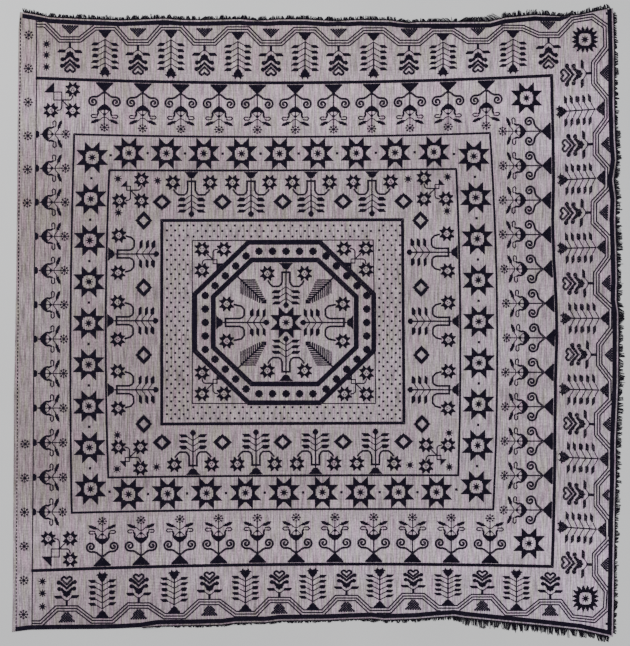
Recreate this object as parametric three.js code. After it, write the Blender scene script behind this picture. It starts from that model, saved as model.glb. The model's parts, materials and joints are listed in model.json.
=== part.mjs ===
import * as THREE from 'three';

// A loop-woven cotton bedspread laid out flat, in millimetres.
// X runs from the plain head strip to the fringed foot, Y from the near long side to the far one, Z is up.
// The cloth is one thin sheet. Its dark pile stands proud of the ground in frames, stars, diamonds,
// base triangles and an octagon. A short fringe lies along the near side, the foot and the far side.

const CLOTH_THICKNESS = 2.4;
const PILE_HEIGHT = 2.2;

// The selvage shows as a pale line outside the dark border band.
const SELVAGE = 6;
const BAND_WIDTH = 17;
const EDGE_STEPS = 50;
const QUIET_INSET = 95;
const SHOULDER_SHARE = 0.3;
const FRAME_END_STEP = 0.006;

const GAP = 0.32;
const HEADING_DEPTH = 5;
const HEADING_THICKNESS = 2;
const LOCK_WIDTH = 12;
const LOCK_TIP_WIDTH = 8;
const LOCK_THICKNESS = 2.6;
const LOCK_TIP_THICKNESS = 1.6;
const LOCK_LEAN = 4;
const LOCK_UNEVENNESS = 0.22;
const LOCKS_PER_STEP = 2;
const LOCK_SPACE = 19;
const CORNER_CLEARANCE = 14;

const GROUND_COLOUR = 0xb4a8ad;
const YARN_COLOUR = 0x1d1926;

const rows = (columns, values) =>
  values.map((row) => Object.fromEntries(columns.map((column, i) => [column, row[i]])));

// Where the cloth's edge lies, at stations along each side. The corners pull out and the sides bow in.
const EDGE_COLUMNS = ['along', 'edge'];
const EDGES = {
  near: rows(EDGE_COLUMNS, [
    [-1212, -1236], [-1180, -1232], [-1140, -1227], [-1020, -1225], [-860, -1224], [-780, -1222],
    [-700, -1217], [-620, -1210], [-500, -1209], [-372, -1206], [-316, -1198], [-196, -1197], [-140, -1190],
    [40, -1188], [140, -1184], [228, -1181], [276, -1187], [400, -1183], [500, -1174], [556, -1170],
    [604, -1178], [740, -1192], [900, -1208], [1060, -1226], [1140, -1244], [1192, -1256],
  ]),
  foot: rows(EDGE_COLUMNS, [
    [-1256, 1192], [-1108, 1194], [-948, 1196], [-788, 1198], [-628, 1202], [-468, 1203], [-348, 1208],
    [-248, 1212], [-108, 1213], [44, 1212], [92, 1205], [172, 1208], [292, 1205], [412, 1201], [492, 1204],
    [572, 1193], [652, 1206], [732, 1200], [892, 1196], [1092, 1196], [1260, 1192],
  ]),
  far: rows(EDGE_COLUMNS, [
    [-1180, 1244], [-1140, 1238], [-1100, 1230], [-1060, 1222], [-940, 1216], [-780, 1210], [-660, 1214],
    [-600, 1217], [-540, 1212], [-460, 1211], [-300, 1215], [-228, 1208], [-140, 1214], [-40, 1214],
    [80, 1207], [180, 1212], [300, 1210], [372, 1198], [420, 1203], [700, 1204], [760, 1220], [880, 1232],
    [980, 1226], [1060, 1232], [1140, 1250], [1192, 1260],
  ]),
  head: rows(EDGE_COLUMNS, [
    [-1236, -1212], [-1108, -1209], [-708, -1207], [-308, -1204], [-68, -1200], [132, -1196], [492, -1192],
    [892, -1189], [1172, -1186], [1244, -1180],
  ]),
};

// The four pile frames, from the outside in: corner places, how far each side bows outward, the width,
// and the number of steps along each side.
const FRAMES = Object.fromEntries(rows(
  ['name', 'headX', 'headNearX', 'footX', 'footNearX', 'farY', 'farFootY', 'nearY', 'nearFootY',
    'bowNear', 'bowFoot', 'bowFar', 'bowHead', 'width', 'steps'],
  [
    ['outer', -1115, -1133, 946, 949, 982, 992, -991, -974, -17, 20, -23, 0, 16, 12],
    ['second', -963, -973, 705, 718, 755, 760, -759, -746, -7, 18, -13, 10, 8, 12],
    ['third', -823, -827, 568, 576, 611, 616, -618, -609, -3, 11, -3, 12, 8, 10],
    ['fourth', -613, -613, 350, 356, 410, 413, -404, -400, 0, 0, 0, 0, 12, 6],
  ],
).map((frame) => [frame.name, frame]));

// The two octagons round the middle: half sizes, and half the length of their flat sides.
const OCTAGONS = Object.fromEntries(rows(
  ['name', 'x', 'y', 'halfX', 'halfY', 'flatX', 'flatY', 'width'],
  [
    ['outer', -124, 5, 365, 322, 152, 118, 18],
    ['inner', -118, 6, 288, 248, 137, 105, 16],
  ],
).map((octagon) => [octagon.name, octagon]));
const OCTAGON_FLAT_START = 0.2;
const OCTAGON_CORNER_TRIM = Math.tan(Math.PI / 8);

// Soft swells where the cloth doesn't lie quite flat: centre, height, and half spans along X and Y.
const SWELLS = rows(['x', 'y', 'height', 'spanX', 'spanY'], [
  [-640, 1215, 4, 110, 150],
  [-228, 1210, 3, 90, 120],
  [372, 1200, 5, 100, 150],
  [720, 1212, 5, 110, 160],
  [-650, -1214, 4, 120, 150],
  [-316, -1200, 3, 100, 130],
  [556, -1172, 5, 120, 170],
  [1200, 570, 4, 150, 110],
  [1208, 20, 6, 160, 130],
  [-1202, -300, 3, 90, 150],
]);

// How far the fringe reaches past its heading, at stations along each fringed side.
const FRINGE_REACH = {
  near: rows(EDGE_COLUMNS, [[-700, 8], [-400, 10], [200, 10], [520, 16], [640, 40], [900, 44], [1192, 38]]),
  foot: rows(EDGE_COLUMNS, [[-1256, 16], [-700, 22], [-200, 26], [400, 26], [900, 20], [1260, 16]]),
  far: rows(EDGE_COLUMNS, [[-1180, 16], [-800, 20], [0, 16], [500, 18], [800, 24], [1192, 20]]),
};
const NEAR_FRINGE_START = -700;

// Repeats of the raised motifs.
const STAR = { reach: 60, ring: 30, valley: 34, hole: 25, holeCut: 9 };
const ROW_STARS = { count: 9, first: -744, last: 474, farDrift: -12, nearDrift: 14 };
const COLUMN_STARS = { count: 9, near: -660, far: 664 };
const CORNER_STARS = rows(['x', 'y'], [[846, 900], [856, -882]]);
const CENTRE_STAR = { x: -116, y: 2 };
const DIAMOND = { halfX: 36, halfY: 34, hole: 14 };
const DIAMOND_ROWS = { count: 5, first: -612, last: 354, fromFourth: 74 };
const DIAMOND_COLUMNS = { count: 2, near: -128, far: 142, fromFourth: 72 };
const BASE_TRIANGLE = { halfWidth: 32, height: 32, lightLine: 4 };
const FAR_TRIANGLES = { count: 11, first: -842, last: 685 };
const NEAR_TRIANGLES = { count: 11, first: -851, last: 700 };
const FOOT_TRIANGLES = { count: 12, near: -748, far: 767 };
const HEAD_TRIANGLES = { count: 12, near: -756, far: 755, scale: 0.7 };
const DOT = { radius: 13, sides: 6, perFlat: 5, perDiagonal: 4, flatShare: 0.78 };

const SIDE_NAMES = ['near', 'foot', 'far', 'head'];
const SIDES = {
  near: { from: 'nearHead', to: 'nearFoot', along: 0, out: -1, bow: 'bowNear' },
  foot: { from: 'nearFoot', to: 'farFoot', along: 1, out: 1, bow: 'bowFoot' },
  far: { from: 'farFoot', to: 'farHead', along: 0, out: 1, bow: 'bowFar' },
  head: { from: 'farHead', to: 'nearHead', along: 1, out: -1, bow: 'bowHead' },
};

const mix = (a, b, t) => a + (b - a) * t;
const mixPoint = (a, b, t) => [mix(a[0], b[0], t), mix(a[1], b[1], t)];
const evenly = (count, first, last) => Array.from({ length: count }, (_, i) => mix(first, last, i / (count - 1)));

function readTable(table, along) {
  const after = table.findIndex((row) => row.along >= along);
  if (after === 0) return table[0].edge;
  if (after < 0) return table[table.length - 1].edge;
  const low = table[after - 1];
  const high = table[after];
  return mix(low.edge, high.edge, (along - low.along) / (high.along - low.along));
}

function lift(x, y) {
  let total = 0;
  for (const swell of SWELLS) {
    const away = Math.hypot((x - swell.x) / swell.spanX, (y - swell.y) / swell.spanY);
    if (away < 1) total += swell.height * Math.cos(away * Math.PI / 2) ** 2;
  }
  return total;
}

const CLOTH_CORNERS = {
  nearHead: [EDGES.near[0].along, EDGES.near[0].edge],
  nearFoot: [EDGES.near.at(-1).along, EDGES.near.at(-1).edge],
  farFoot: [EDGES.far.at(-1).along, EDGES.far.at(-1).edge],
  farHead: [EDGES.far[0].along, EDGES.far[0].edge],
};

function frameCorners(frame) {
  return {
    nearHead: [frame.headNearX, frame.nearY],
    nearFoot: [frame.footNearX, frame.nearFootY],
    farFoot: [frame.footX, frame.farFootY],
    farHead: [frame.headX, frame.farY],
  };
}

// A corner moved towards the middle of the cloth by the same distance along X and Y.
function insetCorner(corners, name, inset) {
  const [x, y] = corners[name];
  const inwardX = name.endsWith('Head') ? inset : -inset;
  const inwardY = name.startsWith('near') ? inset : -inset;
  return [x + inwardX, y + inwardY];
}

// A point at fraction t of the cloth's own edge, moved in by an inset.
function edgePoint(sideName, t, inset) {
  const side = SIDES[sideName];
  const across = 1 - side.along;
  const chord = mixPoint(CLOTH_CORNERS[side.from], CLOTH_CORNERS[side.to], t);
  const point = mixPoint(
    insetCorner(CLOTH_CORNERS, side.from, inset),
    insetCorner(CLOTH_CORNERS, side.to, inset),
    t,
  );
  point[across] += readTable(EDGES[sideName], chord[side.along]) - chord[across];
  return point;
}

// A point at fraction t of a frame's side, moved in by an inset from the frame's middle line.
function framePoint(frame, sideName, t, inset) {
  const side = SIDES[sideName];
  const corners = frameCorners(frame);
  const point = mixPoint(
    insetCorner(corners, side.from, inset),
    insetCorner(corners, side.to, inset),
    t,
  );
  point[1 - side.along] += side.out * frame[side.bow] * 4 * t * (1 - t);
  return point;
}

// Where a frame's side lies across the cloth, at a place along it.
function frameLine(frame, sideName, along) {
  const side = SIDES[sideName];
  const corners = frameCorners(frame);
  const start = corners[side.from][side.along];
  const end = corners[side.to][side.along];
  return framePoint(frame, sideName, (along - start) / (end - start), 0)[1 - side.along];
}

// A point at fraction t of one quarter of an octagon: half a diagonal, the flat side, half a diagonal.
function octagonPoint(octagon, sideName, t, inset) {
  const halfX = octagon.halfX - inset;
  const halfY = octagon.halfY - inset;
  const flatX = octagon.flatX - inset * OCTAGON_CORNER_TRIM;
  const flatY = octagon.flatY - inset * OCTAGON_CORNER_TRIM;
  const alongX = SIDES[sideName].along === 0;
  const flat = alongX ? flatX : flatY;
  const far = alongX ? halfY : halfX;
  const diagonalAlong = (flat + (alongX ? halfX : halfY)) / 2;
  const diagonalAcross = (far + (alongX ? flatY : flatX)) / 2;
  const fromMiddle = Math.abs(2 * t - 1);
  const flatEnd = 1 - 2 * OCTAGON_FLAT_START;
  const past = Math.max(0, (fromMiddle - flatEnd) / (1 - flatEnd));
  const along = fromMiddle <= flatEnd ? flat * fromMiddle / flatEnd : mix(flat, diagonalAlong, past);
  const across = mix(far, diagonalAcross, past);
  const direction = sideName === 'near' || sideName === 'foot' ? 1 : -1;
  const signedAlong = along * direction * Math.sign(2 * t - 1);
  const signedAcross = across * SIDES[sideName].out;
  return alongX
    ? [octagon.x + signedAlong, octagon.y + signedAcross]
    : [octagon.x + signedAcross, octagon.y + signedAlong];
}

// A closed shell, built from shared points.
class Shell {
  constructor() {
    this.points = [];
    this.triangles = [];
  }

  point(x, y, z) {
    this.points.push([x, y, z]);
    return this.points.length - 1;
  }

  triangle(a, b, c) {
    this.triangles.push(a, b, c);
  }

  quad(a, b, c, d) {
    this.triangle(a, b, c);
    this.triangle(a, c, d);
  }

  geometry() {
    const geometry = new THREE.BufferGeometry();
    geometry.setAttribute('position', new THREE.Float32BufferAttribute(this.points.flat(), 3));
    geometry.setIndex(this.triangles);
    geometry.computeVertexNormals();
    return geometry;
  }
}

// A chain is a list of places, each with its fraction along and its point in the shell.
// Two chains that run the same way are joined by a band of triangles, which faces up or down.
function bridge(shell, right, left, facesUp) {
  let i = 0;
  let j = 0;
  while (i < right.length - 1 || j < left.length - 1) {
    const stepRight = j === left.length - 1
      || (i < right.length - 1 && right[i + 1].t <= left[j + 1].t);
    const face = stepRight
      ? [right[i].point, right[i + 1].point, left[j].point]
      : [right[i].point, left[j + 1].point, left[j].point];
    if (!facesUp) face.reverse();
    shell.triangle(...face);
    if (stepRight) i += 1;
    else j += 1;
  }
}

const closed = (chain) => [...chain, { ...chain[0], t: SIDE_NAMES.length }];

// The fractions of one side at which a ring has points. The short end steps let a raised frame stop cleanly.
const evenStations = (count) => Array.from({ length: count }, (_, i) => i / count);
const stoppedStations = (count) => {
  const [start, ...rest] = evenStations(count);
  return [start, FRAME_END_STEP, ...rest, 1 - FRAME_END_STEP];
};
const OCTAGON_STATIONS = [0, OCTAGON_FLAT_START, 0.5, 1 - OCTAGON_FLAT_START];

// A ring of points round the cloth. isRaised tells on which sides its pile stands.
function addRing(shell, stations, pointOf, isRaised) {
  const chain = [];
  SIDE_NAMES.forEach((sideName, i) => {
    const before = SIDE_NAMES[(i + SIDE_NAMES.length - 1) % SIDE_NAMES.length];
    for (const t of stations) {
      const [x, y] = pointOf(sideName, t);
      const raised = isRaised(sideName) && (t > 0 || isRaised(before));
      const z = CLOTH_THICKNESS + lift(x, y) + (raised ? PILE_HEIGHT : 0);
      chain.push({ t: i + t, point: shell.point(x, y, z) });
    }
  });
  return chain;
}

const onAllSides = () => true;
const nowhere = () => false;
const notAtHead = (sideName) => sideName !== 'head';

// The four rings of one raised frame, from its outer foot to its inner foot.
function addFrame(shell, stations, pointAtInset, width, isRaised) {
  const shoulder = width * SHOULDER_SHARE;
  const rings = [
    addRing(shell, stations, (side, t) => pointAtInset(side, t, -width / 2), nowhere),
    addRing(shell, stations, (side, t) => pointAtInset(side, t, -shoulder), isRaised),
    addRing(shell, stations, (side, t) => pointAtInset(side, t, shoulder), isRaised),
    addRing(shell, stations, (side, t) => pointAtInset(side, t, width / 2), nowhere),
  ];
  for (let i = 0; i + 1 < rings.length; i += 1) bridge(shell, closed(rings[i]), closed(rings[i + 1]), true);
  return { outer: rings[0], inner: rings.at(-1) };
}

// Outlines of the raised motifs, counter-clockwise round their own centre.
function starOutline() {
  const { reach, ring, valley } = STAR;
  const quarter = [[ring, -reach], [ring, -ring], [reach, -ring], [valley, 0]];
  return turnedCopies(quarter);
}

function octagonHole(half, cut) {
  return turnedCopies([[half - cut, -half], [half, -half + cut]]);
}

function turnedCopies(quarter) {
  const outline = [];
  for (let turn = 0; turn < 4; turn += 1) {
    const [c, s] = [[1, 0], [0, 1], [-1, 0], [0, -1]][turn];
    for (const [x, y] of quarter) outline.push([x * c - y * s, x * s + y * c]);
  }
  return outline;
}

const diamondOutline = (halfX, halfY) => [[halfX, 0], [0, halfY], [-halfX, 0], [0, -halfY]];

function dotOutline() {
  const turn = (Math.PI * 2) / DOT.sides;
  return Array.from({ length: DOT.sides }, (_, i) => [
    DOT.radius * Math.cos(turn * i),
    DOT.radius * Math.sin(turn * i),
  ]);
}

const placed = (outline, x, y) => outline.map((point) => [point[0] + x, point[1] + y]);
const star = (x, y) => ({
  outline: placed(starOutline(), x, y),
  hole: placed(octagonHole(STAR.hole, STAR.holeCut), x, y),
});
const diamond = (x, y) => ({
  outline: placed(diamondOutline(DIAMOND.halfX, DIAMOND.halfY), x, y),
  hole: placed(diamondOutline(DIAMOND.hole, DIAMOND.hole), x, y),
});

// A triangle that stands on the outer frame's inner edge and points to the middle.
function baseTriangle(sideName, along, scale = 1) {
  const side = SIDES[sideName];
  const frame = FRAMES.outer;
  const inward = -side.out;
  const foot = (place) =>
    frameLine(frame, sideName, place) + inward * (frame.width / 2 + BASE_TRIANGLE.lightLine);
  const half = BASE_TRIANGLE.halfWidth * scale;
  const corners = [
    [along - half, foot(along - half)],
    [along + half, foot(along + half)],
    [along, foot(along) + inward * BASE_TRIANGLE.height * scale],
  ];
  const outline = side.along === 0 ? corners : corners.map(([place, across]) => [across, place]);
  return { outline: signedArea(outline) > 0 ? outline : outline.reverse() };
}

function signedArea(outline) {
  return THREE.ShapeUtils.area(outline.map(([x, y]) => new THREE.Vector2(x, y)));
}

// Flat faces over a region that has holes. Every loop is a list of points of the shell.
function addFace(shell, loop, holes) {
  const toVector = (index) => new THREE.Vector2(shell.points[index][0], shell.points[index][1]);
  const all = [loop, ...holes].flat();
  const faces = THREE.ShapeUtils.triangulateShape(loop.map(toVector), holes.map((hole) => hole.map(toVector)));
  for (const face of faces) shell.triangle(...face.map((i) => all[i]));
}

const addLoop = (shell, outline, z) => outline.map(([x, y]) => shell.point(x, y, z));

function addWall(shell, foot, crest) {
  foot.forEach((point, i) => {
    const next = (i + 1) % foot.length;
    shell.quad(point, foot[next], crest[next], crest[i]);
  });
}

// The ground between two rings, with its raised motifs.
function addField(shell, outerRing, innerRing, motifs) {
  const ground = CLOTH_THICKNESS;
  const crestHeight = CLOTH_THICKNESS + PILE_HEIGHT;
  const holes = innerRing ? [innerRing.map((place) => place.point)] : [];
  for (const { outline, hole } of motifs) {
    const foot = addLoop(shell, outline, ground);
    const crest = addLoop(shell, outline, crestHeight);
    holes.push(foot);
    addWall(shell, foot, crest);
    if (!hole) {
      addFace(shell, crest, []);
      continue;
    }
    const holeFoot = addLoop(shell, hole, ground);
    const holeCrest = addLoop(shell, hole, crestHeight);
    addWall(shell, holeCrest, holeFoot);
    addFace(shell, crest, [holeCrest]);
    addFace(shell, holeFoot, []);
  }
  addFace(shell, outerRing.map((place) => place.point), holes);
}

function scrollBandMotifs() {
  return [
    ...evenly(FAR_TRIANGLES.count, FAR_TRIANGLES.first, FAR_TRIANGLES.last).map((x) => baseTriangle('far', x)),
    ...evenly(NEAR_TRIANGLES.count, NEAR_TRIANGLES.first, NEAR_TRIANGLES.last)
      .map((x) => baseTriangle('near', x)),
    ...evenly(FOOT_TRIANGLES.count, FOOT_TRIANGLES.near, FOOT_TRIANGLES.far).map((y) => baseTriangle('foot', y)),
    ...evenly(HEAD_TRIANGLES.count, HEAD_TRIANGLES.near, HEAD_TRIANGLES.far)
      .map((y) => baseTriangle('head', y, HEAD_TRIANGLES.scale)),
    ...CORNER_STARS.map(({ x, y }) => star(x, y)),
  ];
}

// Stars stand midway between the second and third frames, in two rows and two columns.
function starBandMotifs() {
  const motifs = [];
  const midway = (sideName, along) =>
    mix(frameLine(FRAMES.second, sideName, along), frameLine(FRAMES.third, sideName, along), 0.5);
  for (let i = 0; i < ROW_STARS.count; i += 1) {
    const t = i / (ROW_STARS.count - 1);
    const x = mix(ROW_STARS.first, ROW_STARS.last, t);
    const pull = Math.sin(Math.PI * t);
    motifs.push(star(x + ROW_STARS.farDrift * pull, midway('far', x)));
    motifs.push(star(x + ROW_STARS.nearDrift * pull, midway('near', x)));
  }
  for (const y of evenly(COLUMN_STARS.count, COLUMN_STARS.near, COLUMN_STARS.far)) {
    motifs.push(star(midway('head', y), y));
    motifs.push(star(midway('foot', y), y));
  }
  return motifs;
}

function diamondBandMotifs() {
  const motifs = [];
  const fourth = FRAMES.fourth;
  for (const x of evenly(DIAMOND_ROWS.count, DIAMOND_ROWS.first, DIAMOND_ROWS.last)) {
    motifs.push(diamond(x, frameLine(fourth, 'far', x) + DIAMOND_ROWS.fromFourth));
    motifs.push(diamond(x, frameLine(fourth, 'near', x) - DIAMOND_ROWS.fromFourth));
  }
  const columnPlaces = [
    frameLine(fourth, 'near', fourth.headX),
    ...evenly(DIAMOND_COLUMNS.count, DIAMOND_COLUMNS.near, DIAMOND_COLUMNS.far),
    frameLine(fourth, 'far', fourth.headX),
  ];
  for (const y of columnPlaces) {
    motifs.push(diamond(frameLine(fourth, 'head', y) - DIAMOND_COLUMNS.fromFourth, y));
    motifs.push(diamond(frameLine(fourth, 'foot', y) + DIAMOND_COLUMNS.fromFourth, y));
  }
  return motifs;
}

// Round dots midway between the two octagons, along the flat sides and along the diagonals.
function dotMotifs() {
  const motifs = [];
  const { outer, inner } = OCTAGONS;
  const midway = (sideName, t) => mixPoint(
    octagonPoint(outer, sideName, t, outer.width / 2),
    octagonPoint(inner, sideName, t, -inner.width / 2),
    0.5,
  );
  const addDot = ([x, y]) => motifs.push({ outline: placed(dotOutline(), x, y) });
  const flatEnd = 1 - OCTAGON_FLAT_START;
  SIDE_NAMES.forEach((sideName, i) => {
    const next = SIDE_NAMES[(i + 1) % SIDE_NAMES.length];
    const half = (flatEnd - 0.5) * DOT.flatShare;
    for (const t of evenly(DOT.perFlat, 0.5 - half, 0.5 + half)) addDot(midway(sideName, t));
    const start = midway(sideName, flatEnd);
    const end = midway(next, OCTAGON_FLAT_START);
    for (let k = 1; k <= DOT.perDiagonal; k += 1) {
      addDot(mixPoint(start, end, k / (DOT.perDiagonal + 1)));
    }
  });
  return motifs;
}

// The underside: flat on the surface but for the swells.
function addUnderside(shell, outline) {
  const under = (stations, pointOf) => addRing(shell, stations, pointOf, nowhere).map((place) => {
    shell.points[place.point][2] -= CLOTH_THICKNESS;
    return place;
  });
  const rings = [
    outline,
    under(evenStations(EDGE_STEPS), (side, t) => edgePoint(side, t, SELVAGE + BAND_WIDTH)),
    under(evenStations(EDGE_STEPS / 2), (side, t) => edgePoint(side, t, QUIET_INSET)),
    under(evenStations(FRAMES.outer.steps), (side, t) => framePoint(FRAMES.outer, side, t, 0)),
  ];
  for (let i = 0; i + 1 < rings.length; i += 1) bridge(shell, closed(rings[i]), closed(rings[i + 1]), false);
  const middle = shell.point(OCTAGONS.inner.x, OCTAGONS.inner.y, 0);
  const last = closed(rings.at(-1));
  for (let i = 0; i + 1 < last.length; i += 1) shell.triangle(last[i + 1].point, last[i].point, middle);
}

function coverletGeometry() {
  const shell = new Shell();
  const edgeStations = evenStations(EDGE_STEPS);
  const edge = addRing(shell, edgeStations, (side, t) => edgePoint(side, t, 0), nowhere);
  const band = addFrame(
    shell,
    edgeStations,
    (side, t, inset) => edgePoint(side, t, SELVAGE + BAND_WIDTH / 2 + inset),
    BAND_WIDTH,
    notAtHead,
  );
  bridge(shell, closed(edge), closed(band.outer), true);
  const quiet = addRing(
    shell,
    evenStations(EDGE_STEPS / 2),
    (side, t) => edgePoint(side, t, QUIET_INSET),
    nowhere,
  );
  bridge(shell, closed(band.inner), closed(quiet), true);

  const addSquareFrame = (frame, stations, isRaised) =>
    addFrame(shell, stations, (side, t, inset) => framePoint(frame, side, t, inset), frame.width, isRaised);
  const outer = addSquareFrame(FRAMES.outer, stoppedStations(FRAMES.outer.steps), notAtHead);
  const [second, third, fourth] = [FRAMES.second, FRAMES.third, FRAMES.fourth]
    .map((frame) => addSquareFrame(frame, evenStations(frame.steps), onAllSides));
  bridge(shell, closed(quiet), closed(outer.outer), true);

  const addOctagon = (octagon) => addFrame(
    shell,
    OCTAGON_STATIONS,
    (side, t, inset) => octagonPoint(octagon, side, t, inset),
    octagon.width,
    onAllSides,
  );
  const ringOutside = addOctagon(OCTAGONS.outer);
  const ringInside = addOctagon(OCTAGONS.inner);

  addField(shell, outer.inner, second.outer, scrollBandMotifs());
  addField(shell, second.inner, third.outer, starBandMotifs());
  addField(shell, third.inner, fourth.outer, diamondBandMotifs());
  addField(shell, fourth.inner, ringOutside.outer, []);
  addField(shell, ringOutside.inner, ringInside.outer, dotMotifs());
  addField(shell, ringInside.inner, null, [star(CENTRE_STAR.x, CENTRE_STAR.y)]);

  const hem = edge.map(({ t, point }) => {
    const [x, y, z] = shell.points[point];
    return { t, point: shell.point(x, y, z - CLOTH_THICKNESS) };
  });
  addWall(shell, hem.map((place) => place.point), edge.map((place) => place.point));
  addUnderside(shell, hem);
  return shell.geometry();
}

// One side's fringe: a narrow heading beside the cloth's edge, and locks that part from it and lie down.
function fringeGeometry(sideName, startAlong) {
  const side = SIDES[sideName];
  const across = 1 - side.along;
  const length = Math.abs(CLOTH_CORNERS[side.to][side.along] - CLOTH_CORNERS[side.from][side.along]);
  const clearance = CORNER_CLEARANCE / length;
  const knots = [clearance, ...evenStations(EDGE_STEPS).slice(1), 1 - clearance]
    .filter((t) => startAlong === undefined || edgePoint(sideName, t, 0)[side.along] >= startAlong);
  const shell = new Shell();
  const addPair = (t, outward, thickness, slide = 0, level = 1) => {
    const place = edgePoint(sideName, t, 0);
    const base = level * lift(...place);
    place[across] += side.out * outward;
    place[side.along] += slide;
    return {
      low: { t, point: shell.point(place[0], place[1], base) },
      high: { t, point: shell.point(place[0], place[1], base + thickness) },
    };
  };
  const inner = knots.map((t) => addPair(t, GAP, HEADING_THICKNESS));
  const outer = [];
  const locks = [];
  for (let i = 0; i + 1 < knots.length; i += 1) {
    const step = knots[i + 1] - knots[i];
    const count = Math.min(LOCKS_PER_STEP, Math.floor(step * length / LOCK_SPACE));
    for (let k = 0; k < count; k += 1) {
      const middle = knots[i] + step * (k + 0.5) / count;
      const order = i * LOCKS_PER_STEP + k;
      const half = LOCK_WIDTH / 2 / length;
      const root = [middle - half, middle + half].map((t) => addPair(t, HEADING_DEPTH, LOCK_THICKNESS));
      outer.push(...root);
      locks.push({ root, middle, order });
    }
  }
  const pick = (pairs, name) => pairs.map((pair) => pair[name]);
  bridge(shell, pick(outer, 'high'), pick(inner, 'high'), true);
  bridge(shell, pick(outer, 'low'), pick(inner, 'low'), false);
  const wall = (from, to) => shell.quad(from.low.point, to.low.point, to.high.point, from.high.point);
  for (let i = 0; i + 1 < inner.length; i += 1) wall(inner[i + 1], inner[i]);
  for (let i = 1; i + 1 < outer.length; i += 2) wall(outer[i], outer[i + 1]);
  wall(inner[0], outer[0]);
  wall(outer.at(-1), inner.at(-1));

  for (const { root, middle, order } of locks) {
    const along = edgePoint(sideName, middle, 0)[side.along];
    const uneven = 1 + LOCK_UNEVENNESS * Math.sin(order * 2.4);
    const reach = HEADING_DEPTH + readTable(FRINGE_REACH[sideName], along) * uneven;
    const slide = LOCK_LEAN * Math.sin(order * 1.7);
    const half = LOCK_TIP_WIDTH / 2 / length;
    const tip = [middle - half, middle + half].map((t) => addPair(t, reach, LOCK_TIP_THICKNESS, slide, 0));
    wall(root[0], tip[0]);
    wall(tip[0], tip[1]);
    wall(tip[1], root[1]);
    shell.quad(root[0].high.point, tip[0].high.point, tip[1].high.point, root[1].high.point);
    shell.quad(root[1].low.point, tip[1].low.point, tip[0].low.point, root[0].low.point);
  }
  return shell.geometry();
}

const groundMaterial = () =>
  new THREE.MeshStandardMaterial({ color: GROUND_COLOUR, roughness: 0.95, metalness: 0 });
const yarnMaterial = () =>
  new THREE.MeshStandardMaterial({ color: YARN_COLOUR, roughness: 0.9, metalness: 0 });

function named(name, geometry, material) {
  const mesh = new THREE.Mesh(geometry, material);
  mesh.name = name;
  return mesh;
}

const bedspread = new THREE.Group();
bedspread.add(
  named('coverlet', coverletGeometry(), groundMaterial()),
  named('fringe_near', fringeGeometry('near', NEAR_FRINGE_START), yarnMaterial()),
  named('fringe_foot', fringeGeometry('foot'), yarnMaterial()),
  named('fringe_far', fringeGeometry('far'), yarnMaterial()),
);

// The origin is the middle of the whole outline, on the surface that the bedspread lies on.
const centre = new THREE.Box3().setFromObject(bedspread).getCenter(new THREE.Vector3());
bedspread.position.set(-centre.x, -centre.y, 0);

export default bedspread;
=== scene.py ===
import json
import math

import bmesh
import bpy
import numpy as np
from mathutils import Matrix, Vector

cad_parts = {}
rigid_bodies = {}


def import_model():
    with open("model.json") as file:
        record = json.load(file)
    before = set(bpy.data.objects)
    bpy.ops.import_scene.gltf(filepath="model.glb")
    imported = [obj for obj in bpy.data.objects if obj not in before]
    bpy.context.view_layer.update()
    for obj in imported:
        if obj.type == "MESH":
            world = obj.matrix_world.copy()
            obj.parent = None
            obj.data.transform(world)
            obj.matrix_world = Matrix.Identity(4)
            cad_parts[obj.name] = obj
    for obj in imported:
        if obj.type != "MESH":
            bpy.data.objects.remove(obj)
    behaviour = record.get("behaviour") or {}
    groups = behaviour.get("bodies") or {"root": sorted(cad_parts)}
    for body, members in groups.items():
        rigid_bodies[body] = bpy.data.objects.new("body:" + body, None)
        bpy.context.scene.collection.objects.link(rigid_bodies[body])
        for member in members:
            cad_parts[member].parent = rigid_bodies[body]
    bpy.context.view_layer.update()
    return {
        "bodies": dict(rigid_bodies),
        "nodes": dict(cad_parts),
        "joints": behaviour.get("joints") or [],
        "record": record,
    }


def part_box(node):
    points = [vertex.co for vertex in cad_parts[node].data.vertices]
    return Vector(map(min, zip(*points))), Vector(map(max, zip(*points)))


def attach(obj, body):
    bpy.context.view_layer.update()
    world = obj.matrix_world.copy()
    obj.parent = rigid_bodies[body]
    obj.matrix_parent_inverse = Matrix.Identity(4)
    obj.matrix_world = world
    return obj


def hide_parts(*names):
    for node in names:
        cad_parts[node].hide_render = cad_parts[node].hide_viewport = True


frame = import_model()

# A square loop-woven cotton bedspread, laid out flat and seen from straight above.
# The tables are in millimetres from the point under the camera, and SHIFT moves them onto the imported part.
# The motifs are drawn on a chart whose unit is one loop of the dark pile.

MM = 0.001
SEED = 7


def mix(a, b, t):
    return a + (b - a) * t


def evenly(count, first, last):
    return [mix(first, last, i / (count - 1)) for i in range(count)]


def named_rows(columns, rows):
    """A table with named rows and named columns."""
    return {name: dict(zip(columns, row)) for name, row in rows.items()}


# The knots of the pile: their pitch on the chart, their own form, and how uneven they are.
# A knot is dropped where an earlier one stands nearer than the clearance.
LOOP_PITCH = 4.0
LOOP_HALF_WIDTH = 2.7
LOOP_SINK = 0.5
LOOP_HEIGHT = 2.7
LOOP_SHIFT = 0.3
LOOP_SIZE_VARIATION = 0.06
LOOP_CLEARANCE = 2.0
KNOT_FACES = ((0, 1, 4), (1, 2, 4), (2, 3, 4), (3, 0, 4), (0, 3, 2), (0, 2, 1))

# A fill also takes the loops just outside its outline. A hatch has larger loops on a coarser chart.
FILL_GROWTH = 0.2
HATCH_CELL = 1.2
HATCH_LOOP = 1.5

CLOTH_THICKNESS = 2.4
HEM_DROP = 0.7
CLOTH_STEPS = 110

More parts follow.
